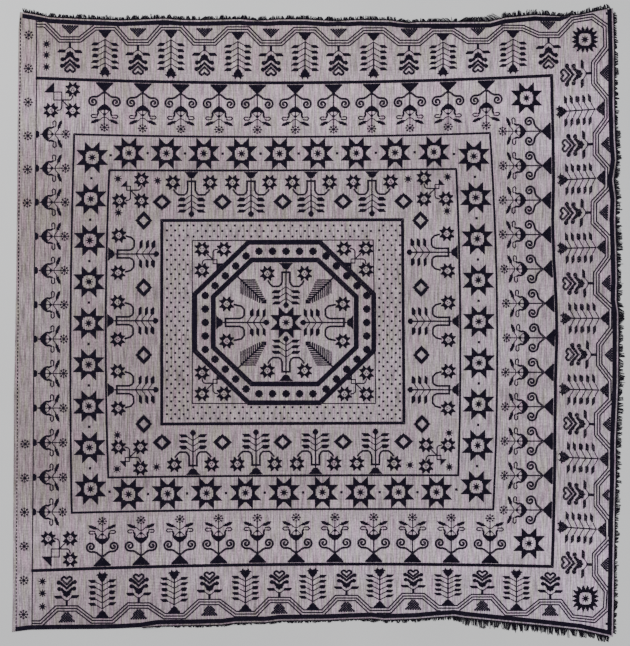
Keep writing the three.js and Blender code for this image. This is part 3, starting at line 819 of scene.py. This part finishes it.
def ribbon_path():
    path = list(RIBBON_START)
    for side, way, bend in RIBBON_RUNS:
        for along, level in ribbon_turns(side):
            for place in (along - way * RIBBON_FLAT, along + way * RIBBON_FLAT):
                path.append(on_side(side, place, level))
        path += bend
    return path


def ribbon_spot(side, along, level, room, length, stretch=math.inf):
    """Where a plant grows from the ribbon, and the slope there. It stops a little before the frame."""
    here = frame_line(FRAMES["outer"], side, along)
    slope = frame_line(FRAMES["outer"], side, along + 1) - here
    base = level - SIDES[side]["out"] * RIBBON_SPACING
    lengthen = min((abs(base - here) - room) / length, stretch)
    fan = PLANT_FANS[side] * along
    return side_spot(side, along, base, slope, fan, PLANT_WIDTHS[side], lengthen), slope


def outer_band(pile):
    """The ribbon, the tulips and trees that grow from it, and the suns in its corners."""
    for k in (-1, 0, 1):
        pile.band(offset_path(ribbon_path(), k * RIBBON_SPACING), RIBBON_LINE)
    for side, turns in RIBBON_TULIPS.items():
        outward = SIDES[side]["out"] * HATCH_OUTWARD[side]
        hatch = hatched_triangle(*HATCH_SIZES[side])
        for along, level in turns:
            spot, slope = ribbon_spot(side, along, level, 0, TULIP_LENGTH, TULIP_STRETCH)
            pile.stamp(tulip(), spot)
            pile.stamp(hatch, side_spot(side, along, level + outward, slope))
        for along, level in RIBBON_TREES[side]:
            pile.stamp(leafy_tree(), ribbon_spot(side, along, level, TREE_ROOM, TREE_LENGTH)[0])
    pile.stamp_all(sun(), SUNS)
    pile.stamp_all(mini_star(), BAND_END_STARS)
    pile.stamp_all(dot(1.2, 0.8), BAND_CORNER_DOTS)


def head_strip(pile):
    """The thin line that closes the pattern at the head, the row of stitches and the rosettes."""
    pile.band(HEAD_LINE, LOOP_PITCH)
    stitch = Motif()
    stitch.line([(0, -0.6), (0, 0.6)], 0.9)
    pile.stamp_all(stitch, rows_along(STITCH_LINE, 1, 1, STITCH_PITCH))
    first, last = np.array(ROSETTE_LINE)
    for group in ROSETTE_GROUPS:
        shares = [(y - first[1]) / (last[1] - first[1]) for y in evenly(ROSETTES_IN_GROUP, *group)]
        pile.stamp_all(rosette(), [mix(first, last, share) for share in shares])


def scroll_band(pile):
    """Scroll plants on three sides, with big stars and sprays in the corners."""
    for side, row in SCROLL_PLANTS.items():
        plant = scroll_plant(*SCROLLS[side])
        for along in evenly(*row):
            pile.stamp(plant, frame_spot("outer", side, along))
    pile.stamp_all(eight_point_star(), CORNER_STARS)
    for row in HEAD_CORNER_SPRAYS:
        pile.stamp(corner_spray(8, 9), turned_spot(*row))


def head_plants(pile):
    """A row of small carnation plants, which grow inwards from the head strip."""
    plant = head_plant()
    for share, y in zip(evenly(HEAD_PLANTS[0], 0, 1), evenly(*HEAD_PLANTS)):
        y += HEAD_PLANT_PULL * math.sin(math.pi * share)
        x = np.interp(y, [point[1] for point in HEAD_LINE], [point[0] for point in HEAD_LINE])
        pile.stamp(plant, side_spot("head", y, x))


def star_rows():
    """The places of the stars on each side, midway between the second and third frames."""
    rows = {side: [] for side in SIDES}
    for share in evenly(STARS_IN_ROW, 0, 1):
        for side, row in STAR_ROWS.items():
            along = mix(row["first"], row["last"], share)
            second, third = (frame_line(FRAMES[name], side, along) for name in ("second", "third"))
            pulled = along + row["pull"] * math.sin(math.pi * share)
            rows[side].append(on_side(side, pulled, (second + third) / 2 + row["shift"]))
    return rows


def star_band(pile):
    """Eight-point stars between the second and third frames, with a small dot between neighbours."""
    rows = star_rows()
    neighbours = []
    for places in rows.values():
        pile.stamp_all(eight_point_star(), places)
        neighbours += zip(places[:-1], places[1:])
    for side, corner in (("near", 0), ("far", -1)):
        row = rows[side]
        neighbours += [(rows["head"][corner], row[0]), (row[-1], rows["foot"][corner])]
    pile.stamp_all(dot(1.4, 0.8), [np.add(first, second) / 2 for first, second in neighbours])


def frames(pile):
    """The three inner frames, the thin frame round the octagon, and both octagons."""
    for name in ("second", "third", "fourth"):
        pile.band(frame_path(name, ("near", "foot", "far", "head")), FRAMES[name]["width"])
    pile.band(THIN_FRAME + THIN_FRAME[:1], LOOP_PITCH)
    for octagon in OCTAGONS.values():
        corners = octagon_corners(octagon)
        pile.band(corners + corners[:1], octagon["width"] - OCTAGON_TRIM, OCTAGON_GROWTH)


def inner_band(pile):
    """Flowering trees and diamonds between the third and fourth frames, with a spray in each corner."""
    for side, places in INNER_TREES.items():
        tree = flowering_tree("bandShort" if SIDES[side]["along"] == 0 else "bandTall")
        for along in places:
            pile.stamp(tree, frame_spot("third", side, along))
    for side, (places, inset) in DIAMONDS.items():
        for along in places:
            across = frame_line(FRAMES["fourth"], side, along) + SIDES[side]["out"] * inset
            pile.stamp(diamond(), side_spot(side, along, across))
    for x, y, turn_x, turn_y in INNER_SPRAYS:
        pile.stamp(corner_spray(4, 5), turned_spot(x, y, turn_x, turn_y))
        places = [(x + turn_x * u * LOOP_PITCH, y + turn_y * v * LOOP_PITCH) for u, v in SPRAY_STARS]
        pile.stamp_all(mini_star(), places)


def octagon_dots(pile):
    """Round dots between the two octagons: five on each straight side, and four on each slanting one."""
    centre = np.array(MEDALLION_CENTRE)
    ring_x, ring_y = OCTAGON_DOT_RING
    spots = []
    for side in (-1, 1):
        for k in range(-2, 3):
            spots += [(k * OCTAGON_DOT_STEP, side * ring_y), (side * ring_x, k * OCTAGON_DOT_STEP)]
        for turn in (-1, 1):
            for x, y in zip(*(evenly(4, *ends) for ends in OCTAGON_DOT_SLANT)):
                spots.append((side * x, turn * y))
    pile.stamp_all(dot(3.45, 0.85), [centre + spot for spot in spots])


def powder_of_dots(pile):
    """Small dots in staggered rows between the fourth frame and the thin one."""
    places = []
    for k in range(POWDER_ROWS):
        y = POWDER_TOP - (POWDER_STEP - POWDER_SQUEEZE * k) * k
        for first in POWDER_COLUMNS:
            places += [(first + POWDER_PITCH * (i + (k + 1) % 2 / 2), y) for i in range(3)]
    for k, y in enumerate(POWDER_BETWEEN_LEVELS):
        first = POWDER_BETWEEN[0] + POWDER_PITCH / 2 * (k % 3 % 2)
        places += [(x, y) for x in np.arange(first, POWDER_BETWEEN[1], POWDER_PITCH)]
    pile.stamp_all(speck(), places)


def medallion(pile):
    """What the octagon holds, the sprays in its corners, and the powder of dots round it."""
    octagon_dots(pile)
    powder_of_dots(pile)
    centre_x, centre_y = MEDALLION_CENTRE
    pile.stamp(eight_point_star(), Spot(centre_x, centre_y))
    inner = OCTAGONS["inner"]
    for side in ("far", "near", "head", "foot"):
        if SIDES[side]["along"] == 0:
            along, middle, reach, kind = centre_x, inner["y"], inner["halfY"], "octagonShort"
        else:
            along, middle, reach, kind = centre_y, inner["x"], inner["halfX"], "octagonTall"
        across = middle + SIDES[side]["out"] * (reach - inner["width"] / 2)
        pile.stamp(flowering_tree(kind), side_spot(side, along, across))
    for side_x in (-1, 1):
        for side_y in (-1, 1):
            x, y = centre_x + side_x * LEAF_OUT[0], centre_y + side_y * LEAF_OUT[1]
            pile.stamp(feather_leaf(), turned_spot(x, y, -side_x, -side_y))
    for row in OCTAGON_SPRAYS:
        pile.stamp(corner_spray(4, 8), turned_spot(*row))


def new_object(name, points, faces):
    """A mesh object from arrays, in millimetres, moved onto the part."""
    mesh = bpy.data.meshes.new(name)
    mesh.vertices.add(len(points))
    mesh.vertices.foreach_set("co", ((points + SHIFT) * MM).ravel())
    corners = faces.shape[1]
    mesh.loops.add(faces.size)
    mesh.loops.foreach_set("vertex_index", faces.ravel())
    mesh.polygons.add(len(faces))
    mesh.polygons.foreach_set("loop_start", np.arange(len(faces)) * corners)
    mesh.polygons.foreach_set("use_smooth", np.ones(len(faces), bool))
    mesh.update(calc_edges=True)
    mesh.validate()
    piece = bpy.data.objects.new(name, mesh)
    bpy.context.scene.collection.objects.link(piece)
    return piece


def spaced(loops, taken):
    """The loops that don't stand on top of an earlier one. It notes them in the squares of a coarse net."""
    kept = []
    for x, y, size in loops:
        column, row = int(x // LOOP_PITCH), int(y // LOOP_PITCH)
        clearance = LOOP_CLEARANCE * size
        close = any(
            math.hypot(x - other_x, y - other_y) < clearance
            for i in (-1, 0, 1) for j in (-1, 0, 1)
            for other_x, other_y in taken.get((column + i, row + j), ())
        )
        if not close:
            taken.setdefault((column, row), []).append((x, y))
            kept.append((x, y, size))
    return np.array(kept)


def pile_object(name, pile, taken, chance):
    """One small peaked knot of yarn for each loop of a part of the pattern. Its foot sinks into the cloth."""
    x, y, size = spaced(np.vstack(pile.parts), taken).T
    count = len(x)
    x = x + chance.uniform(-LOOP_SHIFT, LOOP_SHIFT, count)
    y = y + chance.uniform(-LOOP_SHIFT, LOOP_SHIFT, count)
    height = 1 + chance.uniform(-LOOP_SIZE_VARIATION, LOOP_SIZE_VARIATION, count)
    half = LOOP_HALF_WIDTH * size * (1 + chance.uniform(-LOOP_SIZE_VARIATION, LOOP_SIZE_VARIATION, count))
    ground = CLOTH_THICKNESS + lift(x, y)
    points = np.zeros((count, 5, 3))
    points[:, :, 0] = x[:, None]
    points[:, :, 1] = y[:, None]
    for corner, (side_x, side_y) in enumerate(((-1, -1), (1, -1), (1, 1), (-1, 1))):
        points[:, corner, 0] += side_x * half
        points[:, corner, 1] += side_y * half
    points[:, :4, 2] = (ground - LOOP_SINK)[:, None]
    points[:, 4, 2] = ground + LOOP_HEIGHT * height
    faces = (np.array(KNOT_FACES) + 5 * np.arange(count)[:, None, None]).reshape(-1, 3)
    return new_object(name, points.reshape(-1, 3), faces)


def edge_curve(side, shares):
    """Points on one side of the cloth's outline."""
    table = EDGES[side]
    along = mix(table[0][0], table[-1][0], shares)
    return np.stack(on_side(side, along, read_table(table, along)), -1)


def cloth_points(steps):
    """A net of points over the cloth, which follows all four edges."""
    shares = np.linspace(0, 1, steps + 1)
    near, far = edge_curve("near", shares), edge_curve("far", shares)
    head, foot = edge_curve("head", shares), edge_curve("foot", shares)
    s = shares[None, :, None]
    t = shares[:, None, None]
    straight = mix(mix(near[0], near[-1], s), mix(far[0], far[-1], s), t)
    return mix(near[None], far[None], t) + mix(head[:, None], foot[:, None], s) - straight


def cloth_object():
    """The ground: a thin closed sheet on the folds of its solid, thinner along its hems."""
    net = cloth_points(CLOTH_STEPS)
    row = CLOTH_STEPS + 1
    base = lift(net[..., 0], net[..., 1])
    thickness = np.full(base.shape, CLOTH_THICKNESS)
    for rim in (np.s_[0, :], np.s_[-1, :], np.s_[:, 0], np.s_[:, -1]):
        thickness[rim] = CLOTH_THICKNESS - HEM_DROP
    top = np.dstack([net, base + thickness]).reshape(-1, 3)
    bottom = np.dstack([net, base]).reshape(-1, 3)
    order = np.arange(row * row).reshape(row, row)
    quads = np.stack([order[:-1, :-1], order[:-1, 1:], order[1:, 1:], order[1:, :-1]], -1).reshape(-1, 4)
    below = quads[:, ::-1] + row * row
    rim = np.concatenate([order[0, :-1], order[:-1, -1], order[-1, :0:-1], order[:0:-1, 0]])
    after = np.roll(rim, -1)
    walls = np.stack([rim + row * row, after + row * row, after, rim], -1)
    return new_object("cotton_ground", np.vstack([top, bottom]), np.vstack([quads, below, walls]))


def swept_faces(count, stations, corners, reverse):
    """The faces of closed bars whose points are ordered by bar, station and corner."""
    order = np.arange(stations * corners).reshape(stations, corners)
    quads = []
    for k in range(stations - 1):
        for corner in range(corners):
            after = (corner + 1) % corners
            quads.append((order[k, corner], order[k, after], order[k + 1, after], order[k + 1, corner]))
    quads += [tuple(order[0, ::-1]), tuple(order[-1])]
    quads = np.array(quads)
    if reverse:
        quads = quads[:, ::-1]
    return (quads[None] + stations * corners * np.arange(count)[:, None, None]).reshape(-1, 4)


def side_points(side, along, across, height):
    """Points in space that are given along and across one side, and above the floor."""
    return np.stack([*on_side(side, along, across), height], -1)


def fringe_heading(side):
    """The narrow strip that the strands hang from, just outside the cloth's edge."""
    along = np.arange(FRINGE_START[side], FRINGE_END[side], HEADING_STEP)
    edge = read_table(EDGES[side], along)
    base = lift(*on_side(side, along, edge))
    lines = []
    for outward, upward in HEADING_SECTION:
        lines.append(side_points(side, along, edge + SIDES[side]["out"] * outward, base + upward))
    turned_over = (SIDES[side]["out"] > 0) == (SIDES[side]["along"] == 0)
    return np.stack(lines, 1).reshape(-1, 3), swept_faces(1, len(along), len(lines), turned_over)


def fringe_strands(side, chance):
    """Short ends in uneven tufts. They leave the heading and lie down on the floor."""
    axis, out = SIDES[side]["along"], SIDES[side]["out"]
    count = int((FRINGE_END[side] - FRINGE_START[side]) / STRAND_PITCH)
    along = np.linspace(FRINGE_START[side], FRINGE_END[side], count)
    along = along + chance.uniform(-STRAND_SCATTER, STRAND_SCATTER, count)
    edge = read_table(EDGES[side], along)
    tuft = np.cumsum(chance.random(count) < 1 / STRANDS_IN_TUFT)
    tufts = tuft[-1] + 1
    middle = np.bincount(tuft, along, tufts) / np.maximum(np.bincount(tuft, minlength=tufts), 1)
    gather = (middle[tuft] - along) * chance.uniform(*TUFT_GATHER, tufts)[tuft]
    reach = chance.uniform(*TUFT_REACH, tufts)[tuft] * chance.uniform(*STRAND_REACH, count)
    reach = reach * read_table(FRINGE_REACH[side], along)
    lean = gather + chance.uniform(-TUFT_LEAN, TUFT_LEAN, tufts)[tuft]
    lean = lean + chance.uniform(-STRAND_LEAN, STRAND_LEAN, count)
    bend = chance.uniform(-STRAND_BEND, STRAND_BEND, count)
    rise = STRAND_LIFT + chance.uniform(0, STRAND_LIFT_SPREAD, count)
    base = lift(*on_side(side, along, edge))
    lines = []
    for share in np.linspace(0, 1, STRAND_STATIONS):
        radius = STRAND_RADIUS * (1 - STRAND_TAPER * share)
        place = along + lean * share + bend * math.sin(math.pi * share)
        across = edge + out * (HEADING_REACH - 1 + (reach - HEADING_REACH) * share)
        height = radius + (base + rise) * (1 - share) ** 2
        for angle in map(math.radians, STRAND_CORNERS):
            beside, above = radius * math.cos(angle), radius * math.sin(angle)
            lines.append(side_points(side, place + beside, across, height + above))
    reverse = (out < 0) != (axis == 0)
    faces = swept_faces(count, STRAND_STATIONS, len(STRAND_CORNERS), reverse)
    return np.stack(lines, 1).reshape(-1, 3), faces


def fringe_object(name, side, chance):
    """The heading and the strands of one side, as one mesh."""
    strip_points, strip_faces = fringe_heading(side)
    strand_points, strand_faces = fringe_strands(side, chance)
    points = np.vstack([strip_points, strand_points])
    return new_object(name, points, np.vstack([strip_faces, strand_faces + len(strip_points)]))


def new_material(name, roughness=COTTON_ROUGHNESS, sheen=0.0):
    material = bpy.data.materials.new(name)
    material.use_nodes = True
    shader = material.node_tree.nodes["Principled BSDF"]
    shader.inputs["Roughness"].default_value = roughness
    shader.inputs["Sheen Weight"].default_value = sheen
    shader.inputs["Specular IOR Level"].default_value = SPECULAR
    return material, material.node_tree, shader


def add_node(tree, kind, links, **values):
    """A shader node with some inputs linked and others set."""
    node = tree.nodes.new(f"ShaderNode{kind}")
    for name, value in values.items():
        node.inputs[name].default_value = value
    for name, output in links.items():
        tree.links.new(output, node.inputs[name])
    return node.outputs


def noise(tree, scale, detail=2.0, roughness=0.5):
    """Noise stretched by a scale along each axis, in cycles per metre."""
    place = add_node(tree, "TexCoord", {})["Object"]
    stretched = add_node(tree, "Mapping", {"Vector": place}, Scale=scale)["Vector"]
    values = {"Scale": 1.0, "Detail": detail, "Roughness": roughness}
    return add_node(tree, "TexNoise", {"Vector": stretched}, **values)["Fac"]


def ramp(tree, value, stops):
    """A colour ramp: each stop is a place and a colour."""
    node = tree.nodes.new("ShaderNodeValToRGB")
    elements = node.color_ramp.elements
    while len(elements) < len(stops):
        elements.new(0.5)
    for element, (place, colour) in zip(elements, stops):
        element.position = place
        element.color = (*colour, 1.0)
    tree.links.new(value, node.inputs["Fac"])
    return node.outputs["Color"]


def grey(level):
    return (level, level, level)


def multiply(tree, share, first, second):
    """The first colour times the second, or part of the way there."""
    node = tree.nodes.new("ShaderNodeMix")
    node.data_type = "RGBA"
    node.blend_type = "MULTIPLY"
    node.inputs["Factor"].default_value = share
    tree.links.new(first, node.inputs["A"])
    tree.links.new(second, node.inputs["B"])
    return node.outputs["Result"]


def add_bump(tree, shader, height, strength, distance):
    """Relief too fine for geometry."""
    bump = add_node(tree, "Bump", {"Height": height}, Strength=strength, Distance=distance)
    tree.links.new(bump["Normal"], shader.inputs["Normal"])


def along_axis(tree, axis, low, high):
    """A value that runs from nought to one along X or Y, in metres."""
    split = add_node(tree, "SeparateXYZ", {"Vector": add_node(tree, "TexCoord", {})["Object"]})
    ends = {"From Min": low, "From Max": high}
    return add_node(tree, "MapRange", {"Value": split[axis]}, **ends)["Result"]


def ground_material():
    """Undyed cotton, gone grey and pink with age, with uneven warp and weft and faint brown stains."""
    material, tree, shader = new_material("undyed_cotton", sheen=GROUND_SHEEN)
    blotches = ramp(tree, noise(tree, (2.2, 2.2, 1), 3), (
        (0.30, (0.350, 0.286, 0.305)), (0.5, (0.395, 0.326, 0.350)), (0.72, (0.435, 0.370, 0.410)),
    ))
    across = ramp(tree, along_axis(tree, "X", -1.2, 1.2), (
        (0.0, (0.76, 0.74, 0.72)), (0.16, (0.76, 0.74, 0.74)), (0.4, (0.92, 0.91, 0.91)),
        (0.8, (1.02, 1.02, 1.06)), (1.0, (1.10, 1.09, 1.18)),
    ))
    down = ramp(tree, along_axis(tree, "Y", -1.25, 1.25), (
        (0.0, (1.04, 1.03, 1.08)), (0.15, (1.34, 1.33, 1.42)), (0.24, (1.0, 1.0, 1.02)), (0.5, grey(0.97)),
        (0.76, (0.98, 0.97, 0.98)), (0.85, (1.32, 1.30, 1.38)), (0.95, (1.04, 1.04, 1.02)),
    ))
    warp = ramp(tree, noise(tree, (210, 12, 1), 2, 0.6), ((0.36, grey(0.50)), (0.64, grey(1.36))))
    weft = ramp(tree, noise(tree, (5, 200, 1), 2), ((0.3, grey(0.80)), (0.7, grey(1.16))))
    grain = ramp(tree, noise(tree, (150, 150, 1), 2), ((0.35, grey(0.72)), (0.65, grey(1.22))))
    tint = ramp(tree, noise(tree, (75, 8, 1), 3), (
        (0.35, (1.10, 0.94, 1.04)), (0.5, grey(1.0)), (0.65, (0.97, 1.04, 0.86)),
    ))
    stains = ramp(tree, noise(tree, (7, 9, 1), 4, 0.65), ((0.62, grey(1.0)), (0.78, (0.88, 0.80, 0.66))))
    layers = ((across, 1), (down, 1), (warp, 0.9), (weft, 0.6), (grain, 0.8), (tint, 1), (stains, 0.7))
    colour = blotches
    for layer, share in layers:
        colour = multiply(tree, share, colour, layer)
    tree.links.new(colour, shader.inputs["Base Color"])
    weave = multiply(tree, 1, warp, weft)
    add_bump(tree, shader, weave, *WEAVE_BUMP)
    return material


def yarn_material(name, spots, stops, twist):
    """Cotton yarn with colours that change in spots, and a fine twist in cycles per metre."""
    material, tree, shader = new_material(name)
    tree.links.new(ramp(tree, noise(tree, *spots), stops), shader.inputs["Base Color"])
    add_bump(tree, shader, noise(tree, (twist, twist, twist)), *TWIST_BUMP)
    return material


def pile_yarn():
    """Dark blue-black, a little faded here and there."""
    return yarn_material("dark_yarn", ((60, 60, 1), 3), (
        (0.35, (0.0085, 0.0060, 0.0150)), (0.6, (0.0125, 0.0090, 0.0215)), (0.8, (0.0280, 0.0200, 0.0350)),
    ), 420)


def fringe_yarn():
    """The same dark yarn, with a few pale specks among it."""
    return yarn_material("fringe_yarn", ((85, 85, 1), 3, 0.7), (
        (0.62, (0.0075, 0.0055, 0.0115)), (0.72, (0.0200, 0.0160, 0.0230)), (0.78, (0.2600, 0.2300, 0.2400)),
    ), 400)


def floor_object():
    mesh = bpy.data.meshes.new("floor")
    net = bmesh.new()
    corners = turned([(-FLOOR_HALF, -FLOOR_HALF)])
    net.faces.new([net.verts.new((x, y, 0.0)) for x, y in corners])
    net.to_mesh(mesh)
    net.free()
    floor = bpy.data.objects.new("floor", mesh)
    bpy.context.scene.collection.objects.link(floor)
    material, tree, shader = new_material("pale_floor", FLOOR_ROUGHNESS)
    pale = ramp(tree, noise(tree, (1.5, 1.5, 1)), ((0.3, grey(0.62)), (0.7, (0.66, 0.66, 0.655))))
    tree.links.new(pale, shader.inputs["Base Color"])
    mesh.materials.append(material)


def add_area_light(name, place, size, watts):
    light = bpy.data.lights.new(name, "AREA")
    light.shape = "DISK"
    light.size = size
    light.energy = watts
    lamp = bpy.data.objects.new(name, light)
    lamp.location = place
    lamp.rotation_euler = (-Vector(place)).to_track_quat("-Z", "Y").to_euler()
    bpy.context.scene.collection.objects.link(lamp)


def light_scene():
    world = bpy.data.worlds.new("soft_room")
    world.use_nodes = True
    background = world.node_tree.nodes["Background"]
    background.inputs["Color"].default_value = ROOM_COLOUR
    background.inputs["Strength"].default_value = ROOM_STRENGTH
    bpy.context.scene.world = world
    for lamp in LAMPS:
        add_area_light(*lamp)


def place_camera():
    """Straight above the cloth, far off, so that the picture is as true to shape as the photo."""
    data = bpy.data.cameras.new("overhead")
    data.lens = CAMERA_LENS
    data.sensor_width = CAMERA_SENSOR
    distance = PICTURE_HEIGHT * CAMERA_LENS / CAMERA_SENSOR
    camera = bpy.data.objects.new("overhead", data)
    camera.location = (SHIFT[0] * MM, SHIFT[1] * MM, distance + CLOTH_THICKNESS * MM)
    bpy.context.scene.collection.objects.link(camera)
    bpy.context.scene.camera = camera


# Each part of the pattern is a piece of its own, named after the function that draws it.
PATTERN = (border, frames, outer_band, head_strip, scroll_band, head_plants, star_band, inner_band, medallion)


def dress(piece, material):
    piece.data.materials.append(material)
    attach(piece, "root")


def build():
    """The cloth, its pile and its fringe. All random draws come from one seeded source, in a fixed order."""
    chance = np.random.default_rng(SEED)
    dark, fringe = pile_yarn(), fringe_yarn()
    cloth = cloth_object()
    dress(cloth, ground_material())
    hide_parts("coverlet")
    taken = {}
    for draw in PATTERN:
        pile = Pile()
        draw(pile)
        piece = pile_object(f"pile_{draw.__name__}", pile, taken, chance)
        dress(piece, dark)
    for side in ("near", "foot", "far"):
        piece = fringe_object(f"strands_{side}", side, chance)
        dress(piece, fringe)
        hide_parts(f"fringe_{side}")


build()
floor_object()
light_scene()
place_camera()
